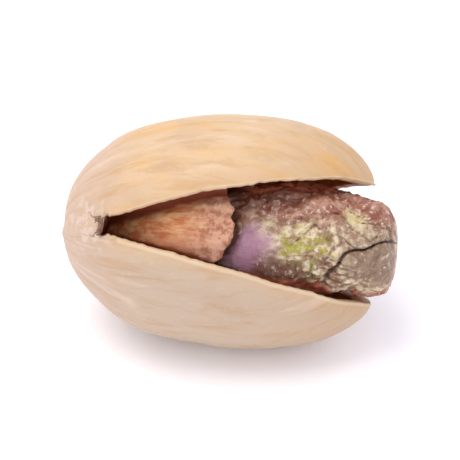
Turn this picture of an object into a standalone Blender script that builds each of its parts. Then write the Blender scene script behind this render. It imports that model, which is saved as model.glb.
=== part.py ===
"""Pistachio in its shell, lying on a table. Metres, +Z up.

The shell's two halves are one piece: they are joined round the stem end and gape at the tip.
Between them lies the seed, and the papery remains of the seed stalk cup its stem end.
Each piece is shaped in the nut's own frame: X runs from the stem end to the tip, the seam
lies in the XY plane, and the side that shows the seed is at -Y. One empty rolls the nut onto
its resting side and puts the middle of its footprint on the origin.
"""

import math
from collections import namedtuple

import bmesh
import bpy
from mathutils import Matrix, Vector

MM = 0.001

# An outline swells from 0 at the stem end to 1 at its fattest place and back to 0 at the tip.
# A higher power keeps that side full for longer, and a higher root makes its end blunter.
Outline = namedtuple("Outline", "fattest stem_power stem_root tip_power tip_root")

# Where one side of the seam starts to split, and how its rims rise from there to the tip
Split = namedtuple("Split", "start power bow")

# One half of the shell: how deep it is, how far it gapes at the tip, how high its rim starts at
# the split's blunt mouth, and its rims on the near and the far side
Half = namedtuple("Half", "depth outline gape mouth near far")

# Shell
SHELL_LENGTH = 20.0 * MM
HALF_WIDTH = 6.2 * MM
WIDTH_OUTLINE = Outline(0.38, 2.5, 2.2, 2.1, 1.6)
NEAR_SPLIT_START = 3.0 * MM
FAR_SPLIT_START = 4.6 * MM
UPPER = Half(
    5.35 * MM,
    Outline(0.30, 2.6, 2.4, 1.8, 1.9),
    4.15 * MM,
    0.95 * MM,
    Split(NEAR_SPLIT_START, 0.70, 1.7),
    Split(FAR_SPLIT_START, 1.4, 1.1),
)
LOWER = Half(
    4.3 * MM,
    Outline(0.30, 1.9, 2.0, 1.7, 1.75),
    4.05 * MM,
    0.12 * MM,
    Split(NEAR_SPLIT_START, 1.0, 1.0),
    Split(FAR_SPLIT_START, 1.0, 0.66),
)
SPREAD_BOW = 1.8
WALL = 0.9 * MM
STEM_WALL = 1.5 * MM
TIP_WALL = 1.2 * MM
MOUTH_RISE = 0.12 * MM
MOUTH_LENGTH = 0.8 * MM
BEAK_START = 0.85
BEAK_HOOK = 0.35 * MM
SCAR_RADIUS = 1.6 * MM
SCAR_DEPTH = 0.2 * MM
RIM_WAVE = 0.06 * MM
RIM_WAVE_LENGTH = 4.3 * MM
SHELL_SIDES = 44
SHELL_RINGS = 34

# Seed
SEED_START = 5.2 * MM
SEED_LENGTH = 16.3 * MM
SEED_OUTLINE = Outline(0.52, 2.0, 2.0, 4.0, 2.7)
SEED_HALF_HEIGHT = 4.55 * MM
SEED_HALF_WIDTH = 4.15 * MM
SEED_SINK = 0.5 * MM
STEM_END_SETBACK = 1.0 * MM
TIP_END_SETBACK = -1.0 * MM
STEM_CLEARANCE = 1.0 * MM
TIP_CLEARANCE = 0.48 * MM
CREASE_POINT = Vector((18.3, 0.0, -1.5)) * MM
CREASE_NORMAL = Vector((0.58, 0.0, -0.81))
CREASE_DEPTH = 0.6 * MM
CREASE_HALF_WIDTH = 0.5 * MM
END_LOBE_PLACE = Vector((19.6, -3.4, -1.7)) * MM
END_LOBE_RADIUS = 1.9 * MM
END_LOBE_HEIGHT = 0.35 * MM
WRINKLE_DEPTH = 0.18 * MM
FOLDS_ROUND = 7
FOLD_WANDER = 1.1
FOLD_WAVE = 7.5 * MM
FOLD_SHARE = 0.6
RIPPLE_LENGTH = 3.3 * MM
RIPPLE_WANDER = 2.4
RIPPLE_BENDS = 3
SMOOTH_PLACE = Vector((12.4, -4.0, -1.2)) * MM
SMOOTH_RADIUS = 2.6 * MM
SEED_SIDES = 48
SEED_RINGS = 38

# Seed stalk
STALK_START = 2.1 * MM
STALK_INNER_START = 4.2 * MM
STALK_CLEARANCE = 0.35 * MM
STALK_EDGE = 0.55 * MM
STALK_ROOT = 1.4 * MM
STALK_FAR_REACH = 7.2 * MM
STALK_TONGUE_REACH = 4.1 * MM
TONGUE_LIFT = math.radians(9)
TONGUE_HALF_ANGLE = math.radians(47)
FIBRE_COUNT = 13
FIBRE_LEAN = 2.0
FIBRE_DEPTH = 0.07 * MM
STALK_SIDES = 48
STALK_RINGS = 12

# How the nut lies
ROLL = math.radians(-38)
REST_CUT = 0.28 * MM

# Working values
POLE = 1e-6
STATION_STEPS = 6
BEND_POWER = 14
SHARP_ANGLE = math.radians(40)


def clear_scene():
    for obj in list(bpy.data.objects):
        bpy.data.objects.remove(obj)


def make_material(name, colour, roughness):
    material = bpy.data.materials.new(name)
    material.use_nodes = True
    shader = material.node_tree.nodes["Principled BSDF"]
    shader.inputs["Base Color"].default_value = (*colour, 1)
    shader.inputs["Roughness"].default_value = roughness
    shader.inputs["Metallic"].default_value = 0
    return material


def swell(station, outline):
    """Share of the full half-width at a station, which runs from 0 at the stem end to 1 at the tip."""
    if station < outline.fattest:
        reach = (outline.fattest - station) / outline.fattest
        return (1 - reach**outline.stem_power) ** (1 / outline.stem_root)
    reach = (station - outline.fattest) / (1 - outline.fattest)
    return max(0.0, 1 - reach**outline.tip_power) ** (1 / outline.tip_root)


def bell(distance, half_width):
    """1 in the middle, falling smoothly to nothing on both sides."""
    return math.exp(-((distance / half_width) ** 2))


def ball_along_x(sides, rings):
    """A unit ball whose poles are the stem end, at -X, and the tip, at +X."""
    bm = bmesh.new()
    bmesh.ops.create_uvsphere(bm, u_segments=sides, v_segments=rings, radius=1)
    quarter_turn = Matrix.Rotation(math.radians(90), 3, "Y")
    bmesh.ops.rotate(bm, cent=(0, 0, 0), matrix=quarter_turn, verts=bm.verts)
    return bm


def polar(direction):
    """Station along the nut, then the cosine and sine of the angle round it from the far seam."""
    station = min(1.0, max(0.0, (1 + direction.x) / 2))
    around = math.hypot(direction.y, direction.z)
    if around < POLE:
        return station, 0.0, 1.0
    return station, direction.y / around, direction.z / around


def beak_hook(station):
    """How far the tip of a half turns back towards the seam plane."""
    return BEAK_HOOK * max(0.0, station - BEAK_START) / (1 - BEAK_START)


def rim_height(half, split, x):
    """How far a rim stands from the seam plane: nothing before the split, then a blunt mouth."""
    beyond = x - split.start
    if beyond <= 0:
        return 0.0
    along = min(1.0, beyond / (SHELL_LENGTH - split.start))
    opened = half.gape * (1 - (1 - along**split.power) ** split.bow)
    mouth = half.mouth * (1 - math.exp(-beyond / MOUTH_RISE)) * math.exp(-beyond / MOUTH_LENGTH)
    wave = RIM_WAVE * math.sin(x / RIM_WAVE_LENGTH * math.tau) * along
    return opened + mouth + wave - beak_hook(along)


def rim_between(half, x, across):
    """The rim height of the near side at across -1, of the far side at +1, and a blend between."""
    near = rim_height(half, half.near, x)
    far = rim_height(half, half.far, x)
    return (near * (1 - across) + far * (1 + across)) / 2


def keel_height(half, station, wall):
    """How far the ridge of a half stands from the seam plane, less a wall's thickness."""
    swung = half.gape * (1 - (1 - station) ** SPREAD_BOW) - beak_hook(station)
    return swung + (half.depth - wall) * swell(station, half.outline)


def shell_point(direction, upper, inside):
    station, across, turn = polar(direction)
    half = UPPER if upper else LOWER
    wall = WALL if inside else 0.0
    x = station * SHELL_LENGTH
    rim = rim_between(half, x, across)
    keel = keel_height(half, station, wall)
    y = (HALF_WIDTH - wall) * swell(station, WIDTH_OUTLINE) * across
    z = rim + max(0.0, keel - rim) * abs(turn)
    if inside:
        x += inner_shift(station)
    elif station < WIDTH_OUTLINE.fattest:
        x += SCAR_DEPTH * bell(math.hypot(y, z), SCAR_RADIUS)
    return Vector((x, y, z if upper else -z))


def inner_shift(station):
    """How far the inner face is moved along the nut by the thicker walls at its two ends."""
    return STEM_WALL * (1 - station) ** 3 - TIP_WALL * station**3


def cavity_station(x):
    """The station whose inner face lies at x, found by closing in on it step by step."""
    station = min(1.0, x / SHELL_LENGTH)
    for _ in range(STATION_STEPS):
        station = min(1.0, max(0.0, (x - inner_shift(station)) / SHELL_LENGTH))
    return station


def is_split(edge):
    """True for a seam edge beyond the start of the split on its own side."""
    if any(abs(vert.co.z) > POLE for vert in edge.verts):
        return False
    middle = (edge.verts[0].co + edge.verts[1].co) / 2
    start = NEAR_SPLIT_START if middle.y < 0 else FAR_SPLIT_START
    return (1 + middle.x) / 2 * SHELL_LENGTH > start


def line_with_inner_face(bm, rim, place):
    """Adds the inner face, joins it to the outer one along the rim, and shapes both by place."""
    outer = bm.verts[:]
    copied = bmesh.ops.duplicate(bm, geom=bm.verts[:] + bm.edges[:] + bm.faces[:])
    inner_of = copied["vert_map"]
    for edge in rim:
        start, end = edge.verts
        bm.faces.new((start, end, inner_of[end], inner_of[start]))
    for vert in outer:
        outer_point, inner_point = place(vert)
        vert.co = outer_point
        inner_of[vert].co = inner_point
    bmesh.ops.recalc_face_normals(bm, faces=bm.faces)


def build_shell():
    bm = ball_along_x(SHELL_SIDES, SHELL_RINGS)
    bmesh.ops.split_edges(bm, edges=[edge for edge in bm.edges if is_split(edge)])
    is_upper = {
        vert: sum(face.calc_center_median().z for face in vert.link_faces) > 0
        for vert in bm.verts
    }

    def place(vert):
        upper = is_upper[vert]
        return shell_point(vert.co, upper, inside=False), shell_point(vert.co, upper, inside=True)

    rim = [edge for edge in bm.edges if edge.is_boundary]
    line_with_inner_face(bm, rim, place)
    flatten_resting_spot(bm)
    return bm


def nut_turn():
    return Matrix.Rotation(ROLL, 3, "X")


def flatten_resting_spot(bm):
    """Cuts the small flat spot that the nut lies on."""
    up = nut_turn().inverted() @ Vector((0, 0, 1))
    lowest = min(up.dot(vert.co) for vert in bm.verts)
    cut = bmesh.ops.bisect_plane(
        bm,
        geom=bm.verts[:] + bm.edges[:] + bm.faces[:],
        plane_co=up * (lowest + REST_CUT),
        plane_no=-up,
        clear_outer=True,
    )
    outline = [item for item in cut["geom_cut"] if isinstance(item, bmesh.types.BMEdge)]
    bmesh.ops.contextual_create(bm, geom=outline)
    bmesh.ops.recalc_face_normals(bm, faces=bm.faces)


def wrinkle(x, angle):
    """Share of the full wrinkle depth, from -1 to 1: pinched folds along the seed, ripples across it."""
    wander = FOLD_WANDER * math.sin(math.tau * x / FOLD_WAVE)
    folds = 1 - 2 * abs(math.sin(FOLDS_ROUND / 2 * angle + wander))
    bends = RIPPLE_WANDER * math.sin(RIPPLE_BENDS * angle)
    ripples = math.sin(math.tau * x / RIPPLE_LENGTH + bends)
    return FOLD_SHARE * folds + (1 - FOLD_SHARE) * ripples


def room_beside(half, x, middle_y, half_width):
    """How far from the seam plane an upright oval at x can reach and stay clear of a half."""
    station = cavity_station(x)
    clearance = STEM_CLEARANCE + (TIP_CLEARANCE - STEM_CLEARANCE) * station
    rim = rim_between(half, station * SHELL_LENGTH, -1) - clearance
    keel = keel_height(half, station, WALL) - clearance
    cavity_half_width = (HALF_WIDTH - WALL) * swell(station, WIDTH_OUTLINE)
    share = max(0.0, cavity_half_width + middle_y) / half_width
    if share >= 1:
        return keel
    return min(keel, rim / math.sqrt(1 - share**2))


def kept_within(size, limit):
    """size, bent over smoothly so that it stays below limit."""
    return size / (1 + (size / limit) ** BEND_POWER) ** (1 / BEND_POWER)


def seed_point(direction):
    station, across, turn = polar(direction)
    full = swell(station, SEED_OUTLINE)
    x = SEED_START + station * SEED_LENGTH
    middle_y = STEM_END_SETBACK + (TIP_END_SETBACK - STEM_END_SETBACK) * station
    half_width = max(POLE, SEED_HALF_WIDTH * full)
    upper = turn > 0
    wanted = (SEED_HALF_HEIGHT + (-SEED_SINK if upper else SEED_SINK)) * full
    half_height = kept_within(wanted, room_beside(UPPER if upper else LOWER, x, middle_y, half_width))
    point = Vector((x, middle_y + half_width * across, half_height * turn))
    skin = WRINKLE_DEPTH * wrinkle(x, math.atan2(turn, across))
    skin *= 1 - bell((point - SMOOTH_PLACE).length, SMOOTH_RADIUS)
    skin += END_LOBE_HEIGHT * bell((point - END_LOBE_PLACE).length, END_LOBE_RADIUS)
    near_side = max(0.0, -across)
    skin -= CREASE_DEPTH * near_side * bell((point - CREASE_POINT).dot(CREASE_NORMAL), CREASE_HALF_WIDTH)
    return point + Vector((0, across, turn)) * skin * full


def build_seed():
    bm = ball_along_x(SEED_SIDES, SEED_RINGS)
    for vert in bm.verts:
        vert.co = seed_point(vert.co)
    bmesh.ops.recalc_face_normals(bm, faces=bm.faces)
    return bm


def stalk_reach(across, turn):
    """How far from the stem end the torn edge lies: it runs out to a tongue on the near side."""
    angle = math.atan2(turn, -across) - TONGUE_LIFT
    return STALK_FAR_REACH + STALK_TONGUE_REACH * bell(angle, TONGUE_HALF_ANGLE)


def stalk_point(share, across, turn, inside):
    """share runs from 0, at the root, to 1, at the torn edge."""
    start = STALK_INNER_START if inside else STALK_START
    x = start + (stalk_reach(across, turn) - start) * share
    station = cavity_station(x)
    thickness = STALK_ROOT + (STALK_EDGE - STALK_ROOT) * share if inside else 0.0
    angle = math.atan2(turn, across)
    fibre = FIBRE_DEPTH * share * (1 - math.sin(FIBRE_COUNT * angle + FIBRE_LEAN * share))
    gap = STALK_CLEARANCE + thickness + fibre
    half = UPPER if turn > 0 else LOWER
    round_end = math.sqrt(1 - (1 - share) ** 2)
    half_width = (HALF_WIDTH - WALL) * swell(station, WIDTH_OUTLINE) - gap
    half_height = keel_height(half, station, WALL) - gap
    return Vector((x, half_width * across * round_end, half_height * turn * round_end))


def build_stalk():
    """A cup like half a ball, with its mouth drawn out into a tongue."""
    bm = ball_along_x(STALK_SIDES, 2 * STALK_RINGS)
    tip_half = [vert for vert in bm.verts if vert.co.x > POLE]
    bmesh.ops.delete(bm, geom=tip_half, context="VERTS")

    def place(vert):
        _, across, turn = polar(vert.co)
        share = 1 + min(0.0, vert.co.x)
        outer = stalk_point(share, across, turn, inside=False)
        return outer, stalk_point(share, across, turn, inside=True)

    mouth = [edge for edge in bm.edges if edge.is_boundary]
    line_with_inner_face(bm, mouth, place)
    return bm


def add_piece(name, bm, material, parent):
    mesh = bpy.data.meshes.new(name)
    bm.to_mesh(mesh)
    bm.free()
    mesh.materials.append(material)
    mesh.shade_smooth()
    mesh.set_sharp_from_angle(angle=SHARP_ANGLE)
    obj = bpy.data.objects.new(name, mesh)
    bpy.context.collection.objects.link(obj)
    obj.parent = parent
    return obj


def lay_down(nut, pieces):
    """Rolls the nut onto its side, then puts the middle of its footprint on the origin."""
    nut.rotation_euler = nut_turn().to_euler()
    corners = [nut_turn() @ vert.co for piece in pieces for vert in piece.data.vertices]
    low = Vector(min(corner[axis] for corner in corners) for axis in range(3))
    high = Vector(max(corner[axis] for corner in corners) for axis in range(3))
    nut.location = (-(low.x + high.x) / 2, -(low.y + high.y) / 2, -low.z)


def main():
    clear_scene()
    nut = bpy.data.objects.new("nut", None)
    bpy.context.collection.objects.link(nut)
    cream = make_material("shell", (0.80, 0.62, 0.40), 0.55)
    green = make_material("seed", (0.45, 0.38, 0.20), 0.6)
    brown = make_material("seed_stalk", (0.45, 0.20, 0.10), 0.8)
    pieces = [
        add_piece("shell", build_shell(), cream, nut),
        add_piece("seed", build_seed(), green, nut),
        add_piece("seed_stalk", build_stalk(), brown, nut),
    ]
    lay_down(nut, pieces)


main()
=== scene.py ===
"""The looks of a split pistachio: its cream shell, the papery seed stalk and the wrinkled seed.

Every piece is shaped in the nut's own frame: X runs from the stem end to the tip, the seam lies
in the XY plane, and the side that shows the seed is at -Y. The nut lies rolled onto one side.
"""

import math
from collections import namedtuple

import bmesh
import bpy
from mathutils import Matrix, Vector, noise


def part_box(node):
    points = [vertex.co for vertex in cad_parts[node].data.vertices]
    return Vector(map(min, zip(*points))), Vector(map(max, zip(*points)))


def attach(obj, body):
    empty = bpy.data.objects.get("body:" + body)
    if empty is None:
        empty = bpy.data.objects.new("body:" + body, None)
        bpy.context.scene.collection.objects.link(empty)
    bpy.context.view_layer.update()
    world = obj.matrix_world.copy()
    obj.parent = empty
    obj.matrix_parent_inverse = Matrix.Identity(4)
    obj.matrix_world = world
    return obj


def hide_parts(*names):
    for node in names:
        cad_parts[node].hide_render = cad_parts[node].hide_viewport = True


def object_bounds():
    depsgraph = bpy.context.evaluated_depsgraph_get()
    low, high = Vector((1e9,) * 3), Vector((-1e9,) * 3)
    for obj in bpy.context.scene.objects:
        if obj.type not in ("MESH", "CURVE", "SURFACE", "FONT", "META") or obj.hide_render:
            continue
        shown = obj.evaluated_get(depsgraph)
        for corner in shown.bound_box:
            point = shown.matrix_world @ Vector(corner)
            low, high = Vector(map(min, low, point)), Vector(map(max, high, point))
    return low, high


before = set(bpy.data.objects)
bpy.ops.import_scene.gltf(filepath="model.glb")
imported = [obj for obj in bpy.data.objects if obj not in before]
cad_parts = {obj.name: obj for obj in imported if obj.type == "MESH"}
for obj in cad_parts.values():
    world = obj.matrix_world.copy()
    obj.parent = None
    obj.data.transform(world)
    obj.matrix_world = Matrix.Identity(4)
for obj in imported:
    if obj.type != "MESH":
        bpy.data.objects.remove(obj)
cad_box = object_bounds()


# Shell
# The woody coat of the nut, grown as one body. It dried and split along its seam, so its two
# halves gape at the tip and are still joined round the stem end, where the stalk's scar is.

MM = 0.001
ROLL = math.radians(-38)
SHELL_LENGTH = 20.0 * MM
HALF_WIDTH = 6.2 * MM
SPREAD_BOW = 1.8
WALL = 0.9 * MM
STEM_WALL = 1.5 * MM
TIP_WALL = 1.2 * MM
MOUTH_RISE = 0.12 * MM
MOUTH_LENGTH = 0.8 * MM
BEAK_START = 0.85
BEAK_HOOK = 0.35 * MM
SCAR_RADIUS = 1.6 * MM
SCAR_DEPTH = 0.2 * MM
RIM_WAVE = 0.06 * MM
RIM_WAVE_LENGTH = 4.3 * MM
SHELL_SIDES = 220
SHELL_RINGS = 170
POLE = 1e-6

# An outline swells from 0 at the stem end to 1 at its fattest place and back to 0 at the tip.
# A higher power keeps that side full for longer, and a higher root makes its end blunter.
Outline = namedtuple("Outline", "fattest stem_power stem_root tip_power tip_root")
WIDTH_OUTLINE = Outline(0.38, 2.5, 2.2, 2.1, 1.6)

# Where one side of the seam starts to split, and how its rims rise from there to the tip
Split = namedtuple("Split", "start power bow")
NEAR_SPLIT_START = 3.0 * MM
FAR_SPLIT_START = 4.6 * MM

# One half of the shell: how deep it is, how far it gapes at the tip, how high its rim starts at
# the split's blunt mouth, and its rims on the near and the far side
Half = namedtuple("Half", "depth outline gape mouth near far chip_row")
UPPER = Half(
    5.35 * MM,
    Outline(0.30, 2.6, 2.4, 1.8, 1.9),
    4.15 * MM,
    0.95 * MM,
    Split(NEAR_SPLIT_START, 0.70, 1.7),
    Split(FAR_SPLIT_START, 1.4, 1.1),
    chip_row=11,
)
LOWER = Half(
    4.3 * MM,
    Outline(0.30, 1.9, 2.0, 1.7, 1.75),
    4.05 * MM,
    0.12 * MM,
    Split(NEAR_SPLIT_START, 1.0, 1.0),
    Split(FAR_SPLIT_START, 1.0, 0.6),
    chip_row=37,
)


def swell(station, outline):
    """Share of the full half-width at a station, which runs from 0 at the stem end to 1 at the tip."""
    if station < outline.fattest:
        reach = (outline.fattest - station) / outline.fattest
        return (1 - reach**outline.stem_power) ** (1 / outline.stem_root)
    reach = (station - outline.fattest) / (1 - outline.fattest)
    return max(0.0, 1 - reach**outline.tip_power) ** (1 / outline.tip_root)


def bell(distance, half_width):
    """1 in the middle, falling smoothly to nothing on both sides."""
    return math.exp(-((distance / half_width) ** 2))


def ramp(value, low, high):
    """0 below low, 1 above high, and a straight rise between them."""
    return min(1.0, max(0.0, (value - low) / (high - low)))


def ball_along_x(sides, rings):
    """A unit ball whose poles are the stem end, at -X, and the tip, at +X."""
    bm = bmesh.new()
    bm.verts.layers.float.new("wall_depth")
    bmesh.ops.create_uvsphere(bm, u_segments=sides, v_segments=rings, radius=1)
    quarter_turn = Matrix.Rotation(math.radians(90), 3, "Y")
    bmesh.ops.rotate(bm, cent=(0, 0, 0), matrix=quarter_turn, verts=bm.verts)
    return bm


def polar(direction):
    """Station along the nut, then the cosine and sine of the angle round it from the far seam."""
    station = min(1.0, max(0.0, (1 + direction.x) / 2))
    around = math.hypot(direction.y, direction.z)
    if around < POLE:
        return station, 0.0, 1.0
    return station, direction.y / around, direction.z / around


def beak_hook(station):
    """How far the tip of a half turns back towards the seam plane."""
    return BEAK_HOOK * max(0.0, station - BEAK_START) / (1 - BEAK_START)


def swung_height(half, split, x):
    """How far a rim has swung away from the seam plane: not at all before the split."""
    along = ramp(x, split.start, SHELL_LENGTH)
    opened = half.gape * (1 - (1 - along**split.power) ** split.bow)
    wave = RIM_WAVE * math.sin(x / RIM_WAVE_LENGTH * math.tau) * along
    return opened + wave - beak_hook(along)


def mouth_height(half, split, x):
    """How much higher a rim stands at the blunt mouth of the split."""
    beyond = max(0.0, x - split.start)
    return half.mouth * (1 - math.exp(-beyond / MOUTH_RISE)) * math.exp(-beyond / MOUTH_LENGTH)


def rim_height(half, split, x):
    """How far a rim stands from the seam plane, chips aside."""
    return swung_height(half, split, x) + mouth_height(half, split, x)


def blend(near, far, across):
    """The near side's value at across -1, the far side's at +1, and a mix of both between."""
    return (near * (1 - across) + far * (1 + across)) / 2


def keel_height(half, station, wall):
    """How far the ridge of a half stands from the seam plane, less a wall's thickness."""
    swung = half.gape * (1 - (1 - station) ** SPREAD_BOW) - beak_hook(station)
    return swung + (half.depth - wall) * swell(station, half.outline)


def inner_shift(station):
    """How far the inner face is moved along the nut by the thicker walls at its two ends."""
    return STEM_WALL * (1 - station) ** 3 - TIP_WALL * station**3


# The rims are rounded, and they tore open unevenly, with a ragged place where the tear began.
# Both die out where two rims meet, at the start of a split and at the tip.
RIM_BULGE = 0.15 * MM
RIM_STEPS = 8
RIM_CHIP = 0.07 * MM
MOUTH_CHIP = 0.22 * MM
MOUTH_CHIP_REACH = 1.2 * MM
CHIP_LENGTH = 0.6 * MM
START_FADE = 0.3 * MM
BULGE_TIP_FADE = 0.4 * MM
CHIP_TIP_FADE = 0.8 * MM
LEAST_HEIGHT = 0.5 * MM

# Behind the mouth of the near split the thicker stem wall is missing, between these stations
UNDERCUT_TURN = 0.45
UNDERCUT_RISE = (0.05, 0.12)
UNDERCUT_FALL = (0.3, 0.5)


def split_start(side):
    """Where the split starts on the near side, which is negative, or on the far side."""
    return NEAR_SPLIT_START if side < 0 else FAR_SPLIT_START


def rim_bulge(x, across):
    """How far a rim bulges into the gape."""
    from_start = ramp(x - split_start(across), 0, START_FADE)
    return RIM_BULGE * from_start * ramp(SHELL_LENGTH - x, 0, BULGE_TIP_FADE)


def rim_chips(half, x, across):
    """How far a rim is chipped away, or stands out where the number is negative."""
    beyond = x - split_start(across)
    height = RIM_CHIP + MOUTH_CHIP * bell(beyond, MOUTH_CHIP_REACH)
    between_ends = ramp(beyond, 0, START_FADE) * ramp(SHELL_LENGTH - x, 0, CHIP_TIP_FADE)
    place = Vector((x / CHIP_LENGTH, half.chip_row, 5 * across))
    return height * between_ends * noise.fractal(place, 0.6, 2.2, 3)


def undercut(station, across, turn):
    """Share of the thicker stem wall that is missing behind the mouth of the near split."""
    if across > 0:
        return 0.0
    rise = ramp(station, *UNDERCUT_RISE)
    return bell(turn, UNDERCUT_TURN) * rise * (1 - ramp(station, *UNDERCUT_FALL))


def shell_point(direction, upper, inside):
    """The place of a point on the outer or inner face of a half, before dents and cracks."""
    station, across, turn = polar(direction)
    half = UPPER if upper else LOWER
    wall = WALL if inside else 0.0
    x = station * SHELL_LENGTH
    swung = blend(swung_height(half, half.near, x), swung_height(half, half.far, x), across)
    height = max(0.0, keel_height(half, station, wall) - swung)
    # What is torn away is cut out of the half: its rows slide up along its side there.
    torn = mouth_height(half, half.near if across < 0 else half.far, x) + rim_chips(half, x, across)
    if upper:
        torn += rim_bulge(x, across)
    risen = abs(turn) + torn / max(height, LEAST_HEIGHT) * (1 - abs(turn)) ** 2
    beside = math.copysign(math.sqrt(max(0.0, 1 - risen**2)), across)
    y = (HALF_WIDTH - wall) * swell(station, WIDTH_OUTLINE) * beside
    z = max(0.0, swung + height * risen)
    if inside:
        x += inner_shift(station) * (1 - undercut(station, across, turn))
    elif station < WIDTH_OUTLINE.fattest:
        x += SCAR_DEPTH * bell(math.hypot(y, z), SCAR_RADIUS)
    return Vector((x, y, z if upper else -z))


def is_split(edge):
    """True for a seam edge beyond the start of the split on its own side."""
    if any(abs(vert.co.z) > POLE for vert in edge.verts):
        return False
    middle = (edge.verts[0].co + edge.verts[1].co) / 2
    return (1 + middle.x) / 2 * SHELL_LENGTH > split_start(middle.y)


def line_with_inner_face(bm, place, bulge):
    """Adds the inner face, shapes both by place, and joins them along a rim that bulges roundly."""
    depth = bm.verts.layers.float["wall_depth"]
    outer = bm.verts[:]
    rim = [edge for edge in bm.edges if edge.is_boundary]
    bulge_of = {vert: bulge(vert) for edge in rim for vert in edge.verts}
    copied = bmesh.ops.duplicate(bm, geom=bm.verts[:] + bm.edges[:] + bm.faces[:])
    inner_of = copied["vert_map"]
    for vert in outer:
        outer_point, inner_point = place(vert)
        vert.co = outer_point
        inner_of[vert].co = inner_point
        inner_of[vert][depth] = 1.0
    strip_of = {}
    for vert, push in bulge_of.items():
        strip_of[vert] = [vert]
        for step in range(1, RIM_STEPS):
            share = (1 - math.cos(math.pi * step / RIM_STEPS)) / 2
            between = bm.verts.new(vert.co.lerp(inner_of[vert].co, share))
            between.co += push * math.sin(math.pi * step / RIM_STEPS)
            between[depth] = share
            strip_of[vert].append(between)
        strip_of[vert].append(inner_of[vert])
    for edge in rim:
        first, second = (strip_of[vert] for vert in edge.verts)
        for step in range(RIM_STEPS):
            bm.faces.new((first[step], second[step], second[step + 1], first[step + 1]))
    bmesh.ops.recalc_face_normals(bm, faces=bm.faces)


shell_bm = ball_along_x(SHELL_SIDES, SHELL_RINGS)
bmesh.ops.split_edges(shell_bm, edges=[edge for edge in shell_bm.edges if is_split(edge)])
in_upper_half = {
    vert: sum(face.calc_center_median().z for face in vert.link_faces) > 0 for vert in shell_bm.verts
}


def place_on_shell(vert):
    """The outer and the inner place of a vertex of the ball."""
    upper = in_upper_half[vert]
    return shell_point(vert.co, upper, inside=False), shell_point(vert.co, upper, inside=True)


def shell_rim_bulge(vert):
    """How far and which way the rim at a vertex bulges into the gape."""
    bulge = rim_bulge((1 + vert.co.x) / 2 * SHELL_LENGTH, vert.co.y)
    return Vector((0, 0, -bulge if in_upper_half[vert] else bulge))


line_with_inner_face(shell_bm, place_on_shell, shell_rim_bulge)


def extent(bm, turn, axis):
    """The lowest and highest place of a turned shape along one axis."""
    places = [(turn @ vert.co)[axis] for vert in bm.verts]
    return min(places), max(places)


# The nut is rolled onto its side and laid where the CAD shell lies, by its ends, sides and top.
nut_turn = Matrix.Rotation(ROLL, 4, "X")
cad_low, cad_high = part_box("shell")
shell_sides = extent(shell_bm, nut_turn, 1)
nut_shift = Vector((
    cad_low.x - extent(shell_bm, nut_turn, 0)[0],
    (cad_low.y + cad_high.y - shell_sides[0] - shell_sides[1]) / 2,
    cad_high.z - extent(shell_bm, nut_turn, 2)[1],
))
nut_place = Matrix.Translation(nut_shift) @ nut_turn

# Soft dents and faint ribs lie below the smooth form, and a low ridge runs along the closed seam.
# By the mouth of the near split the surface has flaked, and two hair cracks run on from it, each
# given by its start and its end.
DENT = 0.13 * MM
DENT_LENGTH = 3.6 * MM
RIB = 0.05 * MM
RIB_SPACING = 1.1 * MM
RIB_LENGTH = 9.0 * MM
SEAM_RIDGE = 0.10 * MM
SEAM_RIDGE_WIDTH = 0.4 * MM
SEAM_RIDGE_FADE = 0.5 * MM
FLAKE = 0.07 * MM
FLAKE_PLACE = Vector((2.4, 0.0, 0.6)) * MM
FLAKE_REACH = 1.8 * MM
FLAKE_LENGTH = 0.55 * MM
FLAKE_CUT = (-0.15, 0.35)
CRACKS = [
    (Vector((3.05, 0.0, 0.75)) * MM, Vector((1.8, 0.0, 1.6)) * MM),
    (Vector((3.05, 0.0, 0.1)) * MM, Vector((1.7, 0.0, -0.15)) * MM),
]
CRACK_DEPTH = 0.15 * MM
CRACK_WIDTH = 0.16 * MM
CRACK_JAG = 0.12 * MM
CRACK_JAG_LENGTH = 0.35 * MM
CRACK_JAG_ROW = 3 * MM
TORN_END = NEAR_SPLIT_START + 0.1 * MM
TORN_REACH = 0.3 * MM
TORN_LOW = -0.12 * MM
TORN_HIGH = UPPER.mouth + 0.1 * MM


def grain_place(point):
    """Where a point lies on the nut unrolled to a tube, so that a pattern can follow its length."""
    angle = math.atan2(point.z / UPPER.depth, point.y / HALF_WIDTH)
    return Vector((point.x, HALF_WIDTH * math.cos(angle), HALF_WIDTH * math.sin(angle)))


def flaked(point):
    """Share of the surface layer that has flaked off by the mouth of the split."""
    if point.y > 0:
        return 0.0
    beside = Vector((point.x - FLAKE_PLACE.x, 0, point.z - FLAKE_PLACE.z)).length
    patchy = noise.fractal(point / FLAKE_LENGTH, 0.7, 2.2, 3)
    return bell(beside, FLAKE_REACH) * ramp(patchy, *FLAKE_CUT)


def cracked(point):
    """1 in the middle of the hair cracks that run on from the mouth towards the stem end."""
    if point.y > 0:
        return 0.0
    deepest = 0.0
    for start, end in CRACKS:
        flat = Vector((point.x, 0, point.z)) - start
        share = flat.dot(end - start) / (end - start).length_squared
        jag_place = Vector((point.x, 0, CRACK_JAG_ROW)) / CRACK_JAG_LENGTH
        jag = CRACK_JAG * noise.noise(jag_place)
        off = (flat - (end - start) * ramp(share, 0, 1)).length + jag
        deepest = max(deepest, bell(off, CRACK_WIDTH) * (1 - ramp(share, 0.6, 1)))
    return deepest


def in_mouth(point):
    """1 on the torn end of the near split, falling to nothing a little way from it."""
    if point.y > 0 or not TORN_LOW < point.z < TORN_HIGH:
        return 0.0
    return bell(point.x - TORN_END, TORN_REACH)


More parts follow.
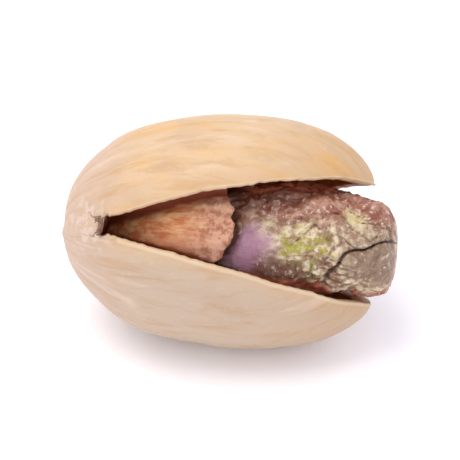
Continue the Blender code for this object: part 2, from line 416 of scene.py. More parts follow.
def shell_depth(point):
    """How far the outer face lies below the smooth form."""
    place = grain_place(point)
    rib_place = Vector((place.x / RIB_LENGTH, place.y / RIB_SPACING, place.z / RIB_SPACING))
    dents = DENT * (0.5 + 0.5 * noise.noise(point / DENT_LENGTH))
    ribs = RIB * (0.5 + 0.5 * noise.noise(rib_place))
    start = split_start(point.y)
    joined = 1 - ramp(point.x, start - SEAM_RIDGE_FADE, start + SEAM_RIDGE_FADE)
    beside_seam = SEAM_RIDGE * joined * (1 - bell(point.z, SEAM_RIDGE_WIDTH))
    return dents + ribs + beside_seam + FLAKE * flaked(point) + CRACK_DEPTH * cracked(point)


shell_bm.normal_update()
depth = shell_bm.verts.layers.float["wall_depth"]
outer_verts = [vert for vert in shell_bm.verts if vert[depth] < 0.5]
drops = [vert.normal * shell_depth(vert.co) * (1 - 2 * vert[depth]) for vert in outer_verts]
for vert, drop in zip(outer_verts, drops):
    vert.co -= drop
shell_bm.transform(nut_place)

# It touches the table on a small flat spot.
cut = bmesh.ops.bisect_plane(
    shell_bm,
    geom=shell_bm.verts[:] + shell_bm.edges[:] + shell_bm.faces[:],
    plane_co=(0, 0, 0),
    plane_no=(0, 0, -1),
    clear_outer=True,
)
spot_outline = [item for item in cut["geom_cut"] if isinstance(item, bmesh.types.BMEdge)]
bmesh.ops.contextual_create(shell_bm, geom=spot_outline)


def linear(hex_colour):
    """An sRGB hex colour as the linear colour with alpha that a socket holds."""
    shares = [int(hex_colour[i : i + 2], 16) / 255 for i in (1, 3, 5)]
    return (*(s / 12.92 if s <= 0.04045 else ((s + 0.055) / 1.055) ** 2.4 for s in shares), 1)


def add(material, kind, options=None, inputs=None, output=0):
    """Adds a node with its options, and each input set to a value or linked to another's output."""
    tree = material.node_tree
    made = tree.nodes.new(kind)
    for name, value in (options or {}).items():
        setattr(made, name, value)
    for socket, value in (inputs or {}).items():
        if isinstance(value, bpy.types.NodeSocket):
            tree.links.new(value, made.inputs[socket])
        else:
            made.inputs[socket].default_value = value
    return made.outputs[output]


def new_material(name, **shader_values):
    """A Principled material, its shader, and the place of a point in the nut's own frame."""
    material = bpy.data.materials.new(name)
    material.use_nodes = True
    shader = material.node_tree.nodes["Principled BSDF"]
    for socket, value in shader_values.items():
        shader.inputs[socket.replace("_", " ")].default_value = value
    world_place = add(material, "ShaderNodeTexCoord", output="Object")
    back = nut_place.inverted()
    turned = {"Vector": world_place, "Location": back.to_translation(), "Rotation": back.to_euler()}
    return material, shader, add(material, "ShaderNodeMapping", inputs=turned)


def stored(material, name, output="Fac"):
    """What a piece stores for each vertex under a name."""
    return add(material, "ShaderNodeAttribute", {"attribute_name": name}, output=output)


def part_along(material, vector, axis):
    """A place's part along one axis."""
    return add(material, "ShaderNodeSeparateXYZ", inputs={"Vector": vector}, output=axis)


def combined(material, operation, first, second):
    """Two numbers put together by a Math node."""
    return add(material, "ShaderNodeMath", {"operation": operation}, {0: first, 1: second})


def tint(material, share, below, above):
    """One colour over another, by share."""
    below, above = (linear(c) if isinstance(c, str) else c for c in (below, above))
    return add(material, "ShaderNodeMix", {"data_type": "RGBA"}, {0: share, 6: below, 7: above}, 2)


def stepped(material, value, low, high, top=1.0, bottom=0.0):
    """bottom below low, top above high, and a smooth rise between them."""
    limits = {"Value": value, "From Min": low, "From Max": high, "To Min": bottom, "To Max": top}
    return add(material, "ShaderNodeMapRange", {"interpolation_type": "SMOOTHSTEP"}, limits)


def finish_material(material, shader, colour, roughness, height, bump_distance):
    """Links the colour, the roughness, and the height as bump, to the shader."""
    bump = {"Height": height, "Strength": 1.0, "Distance": bump_distance}
    material.node_tree.links.new(colour, shader.inputs["Base Color"])
    material.node_tree.links.new(roughness, shader.inputs["Roughness"])
    material.node_tree.links.new(add(material, "ShaderNodeBump", inputs=bump), shader.inputs["Normal"])


SHARP_ANGLE = math.radians(60)


def add_piece(name, bm, material, node):
    """Turns a bmesh into a piece that rides on the nut and stands for its CAD node."""
    mesh = bpy.data.meshes.new(name)
    bm.to_mesh(mesh)
    bm.free()
    mesh.materials.append(material)
    mesh.shade_smooth()
    mesh.set_sharp_from_angle(angle=SHARP_ANGLE)
    piece = bpy.data.objects.new(name, mesh)
    bpy.context.scene.collection.objects.link(piece)
    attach(piece, "root")
    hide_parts(node)
    return piece


def write_numbers(piece, name, values):
    """Stores one number for each vertex of a piece, for its material to read."""
    piece.data.attributes.new(name, "FLOAT", "POINT").data.foreach_set("value", values)


# Roasted shell: smooth dry lignin, cream with warm blotches, faint fibres along it and fine salt
roasted_shell, shader, nut = new_material(
    "roasted_pistachio_shell",
    IOR=1.53,
    Subsurface_Weight=0.12,
    Subsurface_Scale=0.8 * MM,
    Subsurface_Radius=(1.0, 0.6, 0.35),
)
grain = stored(roasted_shell, "grain_place", "Vector")
wall_depth = stored(roasted_shell, "wall_depth")
rim_edge = stored(roasted_shell, "rim_edge")
flake = stored(roasted_shell, "flake")
mouth = stored(roasted_shell, "mouth")
along = add(roasted_shell, "ShaderNodeMapping", inputs={"Vector": grain, "Scale": (0.2, 1, 1)})
blotch = {"Vector": along, "Scale": 1 / (1.7 * MM), "Detail": 4, "Roughness": 0.6, "Distortion": 0.4}
patch = {"Vector": nut, "Scale": 1 / (4.5 * MM), "Detail": 3, "Roughness": 0.55}
fibre = {"Vector": along, "Scale": 1 / (0.7 * MM), "Detail": 4, "Roughness": 0.65, "Distortion": 0.6}
grit = {"Vector": nut, "Scale": 1 / (0.45 * MM), "Detail": 4, "Roughness": 0.7}
blotches = add(roasted_shell, "ShaderNodeTexNoise", inputs=blotch)
patches = add(roasted_shell, "ShaderNodeTexNoise", inputs=patch)
fibres = add(roasted_shell, "ShaderNodeTexNoise", inputs=fibre)
grits = add(roasted_shell, "ShaderNodeTexNoise", inputs=grit)
x_place = part_along(roasted_shell, nut, "X")
y_place = part_along(roasted_shell, nut, "Y")
z_place = part_along(roasted_shell, nut, "Z")
colour = tint(roasted_shell, stepped(roasted_shell, z_place, -2.5 * MM, 2 * MM), "#c0ab93", "#d2b48c")
# The stem end is tinted pinkish grey: partly the scar's own tone, partly painted shade.
stem_tone_and_shade = stepped(roasted_shell, x_place, 6 * MM, 1.5 * MM, 0.75)
colour = tint(roasted_shell, stem_tone_and_shade, colour, "#c2a893")
tip_tan = stepped(roasted_shell, x_place, 11 * MM, 19 * MM, 0.45)
colour = tint(roasted_shell, tip_tan, colour, "#b8946c")
streaks = stepped(roasted_shell, blotches, 0.47, 0.68, 0.65)
pale_streaks = stepped(roasted_shell, blotches, 0.46, 0.30, 0.55)
colour = tint(roasted_shell, pale_streaks, colour, "#dcc6ae")
upper_share = stepped(roasted_shell, z_place, -2 * MM, 1 * MM)
off_stem = stepped(roasted_shell, x_place, 2.5 * MM, 6 * MM)
upper_share = combined(roasted_shell, "MULTIPLY", upper_share, off_stem)
streaks = combined(roasted_shell, "MULTIPLY", streaks, upper_share)
colour = tint(roasted_shell, streaks, colour, "#d8a450")
colour = tint(roasted_shell, stepped(roasted_shell, patches, 0.50, 0.72, 0.5), colour, "#b99c82")
colour = tint(roasted_shell, stepped(roasted_shell, fibres, 0.45, 0.70, 0.45), colour, "#b58a58")
colour = tint(roasted_shell, stepped(roasted_shell, grits, 0.55, 0.75, 0.25), colour, "#dacab7")
colour = tint(roasted_shell, stepped(roasted_shell, flake, 0.1, 0.7, 0.45), colour, "#dccabd")
colour = tint(roasted_shell, stepped(roasted_shell, rim_edge, 0.25, 0.9, 0.22), colour, "#cfa674")
# A pale line right on the rims: partly the paler broken edge of the wall, partly a painted highlight.
colour = tint(roasted_shell, stepped(roasted_shell, rim_edge, 0.93, 0.99, 0.45), colour, "#e2cfac")
inner_tan = tint(roasted_shell, patches, "#9a4e18", "#c07c3a")
colour = tint(roasted_shell, stepped(roasted_shell, wall_depth, 0.3, 0.65), colour, inner_tan)
# The torn end of the near split is painted dark brown: painted shade in the narrow mouth.
colour = tint(roasted_shell, stepped(roasted_shell, mouth, 0.2, 0.6, 0.85), colour, "#6a3a20")
# Each hair crack: its own place along and across it, in crack lengths, and a jagged tapering line
jag = {"Vector": nut, "Scale": 1 / (0.5 * MM), "Detail": 3, "Roughness": 0.7}
jags = add(roasted_shell, "ShaderNodeTexNoise", inputs=jag)
near_side = stepped(roasted_shell, y_place, -1 * MM, -2 * MM)
for start, end in CRACKS:
    run = end - start
    laid = {"Vector": nut, "Location": start, "Rotation": (0, -math.atan2(run.z, run.x), 0)}
    laid["Scale"] = (run.length,) * 3
    placed = add(roasted_shell, "ShaderNodeMapping", {"vector_type": "TEXTURE"}, laid)
    far_along = part_along(roasted_shell, placed, "X")
    aside = part_along(roasted_shell, placed, "Z")
    jagged = stepped(roasted_shell, jags, 0.2, 0.8, top=0.25, bottom=-0.25)
    off = combined(roasted_shell, "ADD", aside, jagged)
    off = add(roasted_shell, "ShaderNodeMath", {"operation": "ABSOLUTE"}, {0: off})
    width = stepped(roasted_shell, far_along, 0.0, 1.1, top=0.0, bottom=0.09)
    within = combined(roasted_shell, "SUBTRACT", width, off)
    line = stepped(roasted_shell, within, -0.02, 0.04, 0.85)
    begun = stepped(roasted_shell, far_along, -0.2, 0.0)
    for mask in (near_side, begun):
        line = combined(roasted_shell, "MULTIPLY", line, mask)
    colour = tint(roasted_shell, line, colour, "#5e331d")
relief = combined(roasted_shell, "ADD", fibres, grits)
roughness = stepped(roasted_shell, grits, 0.35, 0.65, top=0.60, bottom=0.42)
finish_material(roasted_shell, shader, colour, roughness, relief, bump_distance=0.03 * MM)

shell = add_piece("split_shell", shell_bm, roasted_shell, "shell")
unplaced = [nut_place.inverted() @ vert.co for vert in shell.data.vertices]
grain_field = shell.data.attributes.new("grain_place", "FLOAT_VECTOR", "POINT")
grain_field.data.foreach_set("vector", [part for point in unplaced for part in grain_place(point)])


RIM_EDGE_REACH = 1.0 * MM
RIM_EDGE_RISE = 0.3 * MM


def rim_nearness(point):
    """1 on a rim of the shell, falling to nothing a little way from it."""
    half = UPPER if point.z > 0 else LOWER
    split = half.near if point.y < 0 else half.far
    rim = rim_height(half, split, point.x)
    return bell(abs(point.z) - rim, RIM_EDGE_REACH) * ramp(rim, 0, RIM_EDGE_RISE)


write_numbers(shell, "rim_edge", [rim_nearness(point) for point in unplaced])
write_numbers(shell, "flake", [flaked(point) for point in unplaced])
write_numbers(shell, "mouth", [in_mouth(point) for point in unplaced])


# Seed stalk
# The brown papery remains of the stalk that fed the seed. It is stuck in the stem end of the
# shell and cups the seed there, and its thick torn edge runs out to a tongue in the gape.

STALK_START = 2.1 * MM
STALK_INNER_START = 4.2 * MM
STALK_CLEARANCE = 0.35 * MM
STALK_EDGE = 0.55 * MM
STALK_EDGE_BULGE = 0.15 * MM
STALK_ROOT = 1.4 * MM
STALK_FAR_REACH = 7.2 * MM
STALK_TONGUE_REACH = 4.1 * MM
TONGUE_LIFT = math.radians(9)
TONGUE_HALF_ANGLE = math.radians(47)
TEAR_DEPTH = 0.28 * MM
TEAR_LENGTH = 0.9 * MM
STALK_RIM_GROOVE = 0.4 * MM
STRAND_DEPTH = 0.16 * MM
STRAND_SPACING = 0.8 * MM
STRAND_LENGTH = 4.0 * MM
PIT_DEPTH = 0.14 * MM
PIT_SPACING = 0.7 * MM
PIT_RISE = (6 * MM, 9 * MM)
STALK_SIDES = 280
STALK_RINGS = 64
STATION_STEPS = 6

# The dark band under the two near rims: wider under the upper one, and at the lower one it
# widens towards the tip
TOP_SHADE_WIDTH = 0.62 * MM
LOW_SHADE_WIDTH = 0.2 * MM
LOW_SHADE_GAIN = 0.4 * MM
LOW_SHADE_RISE = (11 * MM, 19 * MM)
SHADE_RAGGED_LENGTH = 0.8 * MM


def cavity_station(x):
    """The station whose inner face lies at x, found by closing in on it step by step."""
    station = min(1.0, x / SHELL_LENGTH)
    for _ in range(STATION_STEPS):
        station = min(1.0, max(0.0, (x - inner_shift(station)) / SHELL_LENGTH))
    return station


def stalk_reach(across, turn):
    """How far from the stem end the torn edge lies: it runs out to a tongue on the near side."""
    angle = math.atan2(turn, -across) - TONGUE_LIFT
    place = Vector((HALF_WIDTH * across, HALF_WIDTH * turn, 0)) / TEAR_LENGTH
    tear = TEAR_DEPTH * (noise.fractal(place, 0.6, 2.3, 3) - 0.5)
    return STALK_FAR_REACH + STALK_TONGUE_REACH * bell(angle, TONGUE_HALF_ANGLE) + tear


def strand_depth(x, across, turn):
    """How deep the grooves between the strands are, and the pits of the spongy torn edge."""
    place = Vector((x, HALF_WIDTH * across, HALF_WIDTH * turn))
    strands = Vector((x / STRAND_LENGTH, place.y / STRAND_SPACING, place.z / STRAND_SPACING))
    groove = STRAND_DEPTH * (0.5 - 0.5 * noise.fractal(strands, 0.6, 2.1, 4))
    pits = PIT_DEPTH * (0.5 - 0.5 * noise.fractal(place / PIT_SPACING, 0.8, 2.1, 3))
    return groove + pits * ramp(x, *PIT_RISE)


def rim_shade(point):
    """1 just inside the two near rims, where the stalk and the seed are sunk and darkest."""
    if point.y > 0:
        return 0.0
    ragged = 1 + 0.5 * noise.noise(point / SHADE_RAGGED_LENGTH)
    below_top = point.z - rim_height(UPPER, UPPER.near, point.x)
    above_bottom = point.z + rim_height(LOWER, LOWER.near, point.x)
    low_width = LOW_SHADE_WIDTH + LOW_SHADE_GAIN * ramp(point.x, *LOW_SHADE_RISE)
    return max(bell(below_top, TOP_SHADE_WIDTH * ragged), bell(above_bottom, low_width * ragged))


def stalk_point(share, across, turn, inside):
    """A point on a face of the cup. share runs from 0, at the root, to 1, at the torn edge."""
    start = STALK_INNER_START if inside else STALK_START
    x = start + (stalk_reach(across, turn) - start) * share
    station = cavity_station(x)
    thickness = STALK_ROOT + (STALK_EDGE - STALK_ROOT) * share if inside else 0.0
    depth = 0.0 if inside else share * strand_depth(x, across, turn)
    gap = STALK_CLEARANCE + thickness + depth
    half = UPPER if turn > 0 else LOWER
    round_end = math.sqrt(1 - (1 - share) ** 2)
    half_width = (HALF_WIDTH - WALL) * swell(station, WIDTH_OUTLINE) - gap
    half_height = keel_height(half, station, WALL) - gap
    point = Vector((x, half_width * across * round_end, half_height * turn * round_end))
    if inside:
        return point
    return point - Vector((0, across, turn)) * STALK_RIM_GROOVE * rim_shade(point)


stalk_bm = ball_along_x(STALK_SIDES, 2 * STALK_RINGS)
tip_half = [vert for vert in stalk_bm.verts if vert.co.x > POLE]
bmesh.ops.delete(stalk_bm, geom=tip_half, context="VERTS")


def place_on_stalk(vert):
    """The outer and the inner place of a vertex of the half ball."""
    _, across, turn = polar(vert.co)
    share = 1 + min(0.0, vert.co.x)
    outer = stalk_point(share, across, turn, inside=False)
    return outer, stalk_point(share, across, turn, inside=True)


line_with_inner_face(stalk_bm, place_on_stalk, bulge=lambda vert: Vector((STALK_EDGE_BULGE, 0, 0)))
stalk_bm.transform(nut_place)

# Dry papery fibre: matt, orange-brown, redder low down, spongy and paler towards the torn edge
papery_fibre, shader, nut = new_material(
    "dry_papery_seed_stalk",
    IOR=1.5,
    Subsurface_Weight=0.15,
    Subsurface_Scale=0.5 * MM,
    Subsurface_Radius=(1.0, 0.45, 0.25),
)
strand = {"Scale": 1 / (0.55 * MM), "Detail": 4, "Roughness": 0.65}
strand["Vector"] = add(papery_fibre, "ShaderNodeMapping", inputs={"Vector": nut, "Scale": (0.15, 1, 1)})
sponge = {"Vector": nut, "Scale": 1 / (0.45 * MM), "Detail": 4, "Roughness": 0.65}
strands = add(papery_fibre, "ShaderNodeTexNoise", inputs=strand)
sponges = add(papery_fibre, "ShaderNodeTexNoise", inputs=sponge)
x_place = part_along(papery_fibre, nut, "X")
z_place = part_along(papery_fibre, nut, "Z")
colour = tint(papery_fibre, stepped(papery_fibre, strands, 0.38, 0.62), "#c8743e", "#f0bd86")
colour = tint(papery_fibre, stepped(papery_fibre, z_place, 1.1 * MM, -1.1 * MM, 0.85), colour, "#a2563a")
torn_pale = stepped(papery_fibre, x_place, 7.2 * MM, 10.4 * MM, 0.75)
spongy = tint(papery_fibre, stepped(papery_fibre, sponges, 0.40, 0.60), "#96604a", "#d2a88e")
colour = tint(papery_fibre, torn_pale, colour, spongy)
shade = stored(papery_fibre, "shade")
colour = tint(papery_fibre, stepped(papery_fibre, shade, 0.25, 0.75, 0.92), colour, "#8e3a1c")
relief = combined(papery_fibre, "ADD", strands, sponges)
roughness = stepped(papery_fibre, sponges, 0.35, 0.65, top=0.80, bottom=0.60)
finish_material(papery_fibre, shader, colour, roughness, relief, bump_distance=0.06 * MM)

stalk = add_piece("papery_seed_stalk", stalk_bm, papery_fibre, "seed_stalk")
unplaced = [nut_place.inverted() @ vert.co for vert in stalk.data.vertices]
write_numbers(stalk, "shade", [rim_shade(point) for point in unplaced])


# Seed
# The nut's kernel, dried and shrunk in its shell. Its thin skin has pinched into folds: it is
# red-brown and purple, and the green and cream flesh shows where the skin has rubbed off.

SEED_START = 5.2 * MM
SEED_LENGTH = 16.3 * MM
SEED_OUTLINE = Outline(0.52, 2.0, 2.0, 4.0, 2.7)
SEED_HALF_HEIGHT = 4.55 * MM
SEED_HALF_WIDTH = 4.15 * MM
SEED_SINK = 0.5 * MM
STEM_END_SETBACK = 1.0 * MM
TIP_END_SETBACK = -1.0 * MM
STEM_CLEARANCE = 1.0 * MM
TIP_CLEARANCE = 0.48 * MM
BEND_POWER = 14
CREASE_POINT = Vector((18.3, 0.0, -1.5)) * MM
CREASE_NORMAL = Vector((0.58, 0.0, -0.81))
CREASE_DEPTH = 0.42 * MM
CREASE_HALF_WIDTH = 0.26 * MM
CREASE_WANDER = 0.9 * MM
CREASE_WANDER_LENGTH = 1.6 * MM
CREASE_TAPER = (16 * MM, 20 * MM)
CREASE_WIDE = 1.25
CREASE_NARROW = 0.5
SEED_RIM_GROOVE = 0.1 * MM
COLLAR_DEPTH = 0.35 * MM
COLLAR_HALF_WIDTH = 0.4 * MM
COLLAR_AHEAD = 0.15 * MM
COLLAR_LIMIT = STALK_FAR_REACH + STALK_TONGUE_REACH + 2 * MM
END_LOBE_PLACE = Vector((19.6, -3.4, -1.7)) * MM
END_LOBE_RADIUS = 1.9 * MM
END_LOBE_HEIGHT = 0.35 * MM
WRINKLE_DEPTH = 0.18 * MM
FOLDS_ROUND = 7
FOLD_WANDER = 1.1
FOLD_WAVE = 7.5 * MM
FOLD_SHARE = 0.6
RIPPLE_LENGTH = 3.3 * MM
RIPPLE_WANDER = 2.4
RIPPLE_BENDS = 3
PUCKER_DEPTH = 0.26 * MM
PUCKER_LENGTH = 1.3 * MM
PUCKER_BEND_LENGTH = 2.2 * MM
PUCKER_STRETCH = 0.55
PUCKER_SHARPNESS = 2.4
PUCKER_ROWS = (0.0, 19.3, 41.7)
PEBBLE_DEPTH = 0.16 * MM
PEBBLE_LENGTH = 0.6 * MM
SMOOTH_PLACE = Vector((12.4, -4.0, -1.2)) * MM
SMOOTH_RADIUS = 2.6 * MM
SEED_SIDES = 260
SEED_RINGS = 200


def wrinkle(x, angle):
    """Share of the full wrinkle depth, from -1 to 1: pinched folds along the seed, ripples across it."""
    wander = FOLD_WANDER * math.sin(math.tau * x / FOLD_WAVE)
    folds = 1 - 2 * abs(math.sin(FOLDS_ROUND / 2 * angle + wander))
    bends = RIPPLE_WANDER * math.sin(RIPPLE_BENDS * angle)
    ripples = math.sin(math.tau * x / RIPPLE_LENGTH + bends)
    return FOLD_SHARE * folds + (1 - FOLD_SHARE) * ripples


def room_beside(half, x, middle_y, half_width):
    """How far from the seam plane an upright oval at x can reach and stay clear of a half."""
    station = cavity_station(x)
    clearance = STEM_CLEARANCE + (TIP_CLEARANCE - STEM_CLEARANCE) * station
    rim = rim_height(half, half.near, station * SHELL_LENGTH) - clearance
    keel = keel_height(half, station, WALL) - clearance
    cavity_half_width = (HALF_WIDTH - WALL) * swell(station, WIDTH_OUTLINE)
    share = max(0.0, cavity_half_width + middle_y) / half_width
    if share >= 1:
        return keel
    return min(keel, rim / math.sqrt(1 - share**2))


def kept_within(size, limit):
    """size, bent over smoothly so that it stays below limit."""
    return size / (1 + (size / limit) ** BEND_POWER) ** (1 / BEND_POWER)


def pucker(point):
    """How far the shrunk skin is drawn in: 1 along the valleys of a net of wrinkles, 0 between them."""
    bends = [noise.noise(point / PUCKER_BEND_LENGTH + Vector((row, 0, 0))) for row in PUCKER_ROWS]
    place = Vector((PUCKER_STRETCH * point.x, point.y, point.z)) / PUCKER_LENGTH + Vector(bends)
    return 1 - min(1.0, PUCKER_SHARPNESS * abs(noise.fractal(place, 0.7, 2.2, 3)))


def collar(point):
    """1 where the seed comes out from under the stalk's torn edge, and 0 away from it."""
    if point.x > COLLAR_LIMIT:
        return 0.0
    station = cavity_station(point.x)
    half_width = (HALF_WIDTH - WALL) * swell(station, WIDTH_OUTLINE)
    half_height = keel_height(UPPER if point.z > 0 else LOWER, station, WALL)
    around = Vector((point.y / half_width, point.z / half_height)).normalized()
    beyond = point.x - stalk_reach(around.x, around.y)
    return bell(beyond - COLLAR_AHEAD, COLLAR_HALF_WIDTH)


def seed_point(direction):
    """The place of a point on the seed, and its share of a valley, of the crease and of the shade."""
    station, across, turn = polar(direction)
    full = swell(station, SEED_OUTLINE)
    x = SEED_START + station * SEED_LENGTH
    middle_y = STEM_END_SETBACK + (TIP_END_SETBACK - STEM_END_SETBACK) * station
    half_width = max(POLE, SEED_HALF_WIDTH * full)
    upper = turn > 0
    wanted = (SEED_HALF_HEIGHT + (-SEED_SINK if upper else SEED_SINK)) * full
    half_height = kept_within(wanted, room_beside(UPPER if upper else LOWER, x, middle_y, half_width))
    point = Vector((x, middle_y + half_width * across, half_height * turn))
    rough = 1 - bell((point - SMOOTH_PLACE).length, SMOOTH_RADIUS)
    valley = rough * pucker(point)
    pebbles = 0.5 - 0.5 * noise.fractal(point / PEBBLE_LENGTH, 0.7, 2.2, 3)
    skin = WRINKLE_DEPTH * wrinkle(x, math.atan2(turn, across)) * rough
    skin -= PUCKER_DEPTH * valley + PEBBLE_DEPTH * rough * pebbles
    skin += END_LOBE_HEIGHT * bell((point - END_LOBE_PLACE).length, END_LOBE_RADIUS)
    near_side = max(0.0, -across)
    wander = CREASE_WANDER * noise.noise(point / CREASE_WANDER_LENGTH)
    taper = CREASE_WIDE + (CREASE_NARROW - CREASE_WIDE) * ramp(x, *CREASE_TAPER)
    half_thickness = CREASE_HALF_WIDTH * taper
    crease = near_side * bell((point - CREASE_POINT).dot(CREASE_NORMAL) + wander, half_thickness)
    under_rim = rim_shade(point)
    under_stalk = collar(point)
    skin -= CREASE_DEPTH * crease + SEED_RIM_GROOVE * under_rim + COLLAR_DEPTH * under_stalk
    shade = max(under_rim, under_stalk)
    return point + Vector((0, across, turn)) * skin * full, valley, crease, shade


seed_bm = ball_along_x(SEED_SIDES, SEED_RINGS)
valley_layer = seed_bm.verts.layers.float.new("valley")
crease_layer = seed_bm.verts.layers.float.new("crease")
shade_layer = seed_bm.verts.layers.float.new("shade")
for vert in seed_bm.verts:
    vert.co, vert[valley_layer], vert[crease_layer], vert[shade_layer] = seed_point(vert.co)
bmesh.ops.recalc_face_normals(seed_bm, faces=seed_bm.faces)
seed_bm.transform(nut_place)

# Dried seed skin: satin and thin, red-brown where it is whole, lilac where it is tight, with the
# oily green and cream flesh where it has rubbed through, and grains of salt
seed_skin, shader, nut = new_material(
    "dried_seed_skin_and_flesh",
    IOR=1.47,
    Subsurface_Weight=0.2,
    Subsurface_Scale=0.6 * MM,
    Subsurface_Radius=(1.0, 0.6, 0.35),
)
valley = stored(seed_skin, "valley")
crease = stored(seed_skin, "crease")
shade = stored(seed_skin, "shade")
mottle = {"Vector": nut, "Scale": 1 / (0.9 * MM), "Detail": 5, "Roughness": 0.65}
speck = {"Vector": nut, "Scale": 1 / (0.3 * MM), "Detail": 3, "Roughness": 0.6}
drift = {"Vector": nut, "Scale": 1 / (1.6 * MM), "Detail": 4, "Roughness": 0.6}
mottles = add(seed_skin, "ShaderNodeTexNoise", inputs=mottle)
specks = add(seed_skin, "ShaderNodeTexNoise", inputs=speck)
slanted = {"Vector": nut, "Rotation": (0, math.radians(35), 0), "Scale": (0.35, 1, 1)}
stroke = {"Scale": 1 / (0.5 * MM), "Detail": 3, "Roughness": 0.6, "Distortion": 0.8}
stroke["Vector"] = add(seed_skin, "ShaderNodeMapping", inputs=slanted)
strokes = add(seed_skin, "ShaderNodeTexNoise", inputs=stroke)
drifts = add(seed_skin, "ShaderNodeTexNoise", inputs=drift, output="Color")
ragged = add(
    seed_skin,
    "ShaderNodeVectorMath",
    {"operation": "MULTIPLY_ADD"},
    {0: drifts, 1: (2.4 * MM,) * 3, 2: nut},
)
centred = add(
    seed_skin, "ShaderNodeVectorMath", {"operation": "SUBTRACT"}, {0: ragged, 1: (1.2 * MM,) * 3}
)

# Whole red-brown skin, with paler and darker spots
whole_skin = tint(seed_skin, stepped(seed_skin, mottles, 0.38, 0.62), "#8a4f38", "#b68b76")
whole_skin = tint(seed_skin, stepped(seed_skin, specks, 0.56, 0.68, 0.7), whole_skin, "#c7af9f")
# Cream flesh, browner between its crests
flesh = tint(seed_skin, stepped(seed_skin, mottles, 0.40, 0.60), "#927056", "#d8c8a6")
colour = tint(seed_skin, stepped(seed_skin, valley, 0.40, 0.90, 0.8), flesh, "#6e3f2e")
skin_height = part_along(seed_skin, centred, "Z")
skin_depth = part_along(seed_skin, centred, "Y")
skin_along = part_along(seed_skin, nut, "X")
upper_skin = stepped(seed_skin, skin_height, 0.9 * MM, 1.9 * MM)
far_skin = stepped(seed_skin, skin_depth, -2.4 * MM, -1.2 * MM)
whole = combined(seed_skin, "MAXIMUM", upper_skin, far_skin)
colour = tint(seed_skin, whole, colour, whole_skin)

# Each patch: its middle and radius in millimetres, its colour, and how torn it is, from 0 for whole
PATCHES = [
    ((15.8, -4.6, -0.7), 2.1, "#9c9528", 0.46),
    ((15.6, -4.4, -2.3), 1.6, "#77761f", 0.44),
    ((11.7, -4.6, -0.7), 2.2, "#a67a90", 0.20),
    ((14.2, -4.4, -2.8), 2.4, "#6e463a", 0.33),
    ((18.2, -4.0, -3.4), 1.6, "#7a5844", 0.42),
    ((20.2, -3.6, -0.9), 2.1, "#897059", 0.30),
    ((18.7, -3.9, 1.6), 0.9, "#cdbd8c", 0.36),
]
for middle, radius, patch_colour, tear in PATCHES:
    place = tuple(part * MM for part in middle)
    away = add(
        seed_skin, "ShaderNodeVectorMath", {"operation": "DISTANCE"}, {0: centred, 1: place}, "Value"
    )
    share = stepped(seed_skin, away, radius * 1.15 * MM, radius * 0.6 * MM, 0.9)
    left = stepped(seed_skin, strokes, tear, tear + 0.12)
    share = combined(seed_skin, "MULTIPLY", share, left)
    colour = tint(seed_skin, share, colour, patch_colour)

# Crumbs of dry skin and dark pits beyond the smooth lilac skin
for low, high, speck_colour in ((0.56, 0.66, "#ddd3c2"), (0.44, 0.34, "#6a4c38")):
    crumbs = stepped(seed_skin, specks, low, high, 0.45)
    beyond_lilac = stepped(seed_skin, skin_along, 12.6 * MM, 14 * MM)
    crumbs = combined(seed_skin, "MULTIPLY", crumbs, beyond_lilac)
    colour = tint(seed_skin, crumbs, colour, speck_colour)
# The crease is painted near-black: painted shade deep in the fold.
colour = tint(seed_skin, stepped(seed_skin, crease, 0.35, 0.8, 0.85), colour, "#3c231b")
beside_stalk = stepped(seed_skin, skin_along, 12.4 * MM, 11.2 * MM)
shade_colour = tint(seed_skin, beside_stalk, "#b66245", "#755040")
colour = tint(seed_skin, stepped(seed_skin, shade, 0.3, 0.8, 0.9), colour, shade_colour)
salt = {"Vector": ragged, "Scale": 1 / (0.8 * MM), "Randomness": 1.0}
salt_away = add(seed_skin, "ShaderNodeTexVoronoi", inputs=salt, output="Distance")
colour = tint(seed_skin, stepped(seed_skin, salt_away, 0.15, 0.07, 0.8), colour, "#dbd3c6")
relief = combined(seed_skin, "ADD", mottles, specks)
roughness = stepped(seed_skin, specks, 0.35, 0.65, top=0.58, bottom=0.34)
finish_material(seed_skin, shader, colour, roughness, relief, bump_distance=0.06 * MM)

add_piece("wrinkled_seed", seed_bm, seed_skin, "seed")


# Floor, light and camera
# A plain white table that glows a little, a broad soft light overhead and white walls all round,
# seen from the same side and height as in the picture, with a long lens.

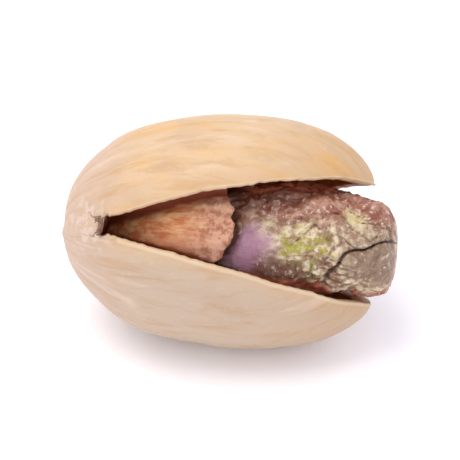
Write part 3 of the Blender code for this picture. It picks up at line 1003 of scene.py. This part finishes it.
floor_bm = bmesh.new()
bmesh.ops.create_grid(floor_bm, x_segments=1, y_segments=1, size=1.5)
floor_mesh = bpy.data.meshes.new("floor")
floor_bm.to_mesh(floor_mesh)
floor_bm.free()
white_table = bpy.data.materials.new("white_table")
white_table.use_nodes = True
table_shader = white_table.node_tree.nodes["Principled BSDF"]
table_shader.inputs["Base Color"].default_value = linear("#fafafc")
table_shader.inputs["Roughness"].default_value = 0.6
table_shader.inputs["Emission Color"].default_value = linear("#ffffff")
table_shader.inputs["Emission Strength"].default_value = 0.08
floor_mesh.materials.append(white_table)
floor = bpy.data.objects.new("floor", floor_mesh)
bpy.context.scene.collection.objects.link(floor)

world = bpy.data.worlds.new("white_room")
world.use_nodes = True
world.node_tree.nodes["Background"].inputs["Color"].default_value = linear("#f7f5ff")
world.node_tree.nodes["Background"].inputs["Strength"].default_value = 1.1
bpy.context.scene.world = world
bpy.context.scene.view_settings.view_transform = "Standard"


def aim(obj, place, target):
    """Puts a light or the camera at a place, looking at a target."""
    obj.location = place
    obj.rotation_euler = (Vector(target) - Vector(place)).to_track_quat("-Z", "Y").to_euler()
    bpy.context.scene.collection.objects.link(obj)


nut_middle = (cad_box[0] + cad_box[1]) / 2
softbox = bpy.data.lights.new("softbox", "AREA")
softbox.size = 0.25
softbox.energy = 0.6
softbox.color = (1.0, 0.95, 0.86)
aim(bpy.data.objects.new("softbox", softbox), (-0.12, -0.02, 0.35), nut_middle)

CAMERA_AZIMUTH = math.radians(4)
CAMERA_ELEVATION = math.radians(38)
CAMERA_DISTANCE = 0.34
lens = bpy.data.cameras.new("camera")
lens.lens = 420
away = Vector((
    math.sin(CAMERA_AZIMUTH) * math.cos(CAMERA_ELEVATION),
    -math.cos(CAMERA_AZIMUTH) * math.cos(CAMERA_ELEVATION),
    math.sin(CAMERA_ELEVATION),
))
camera = bpy.data.objects.new("camera", lens)
aim(camera, nut_middle + away * CAMERA_DISTANCE, nut_middle)
bpy.context.scene.camera = camera
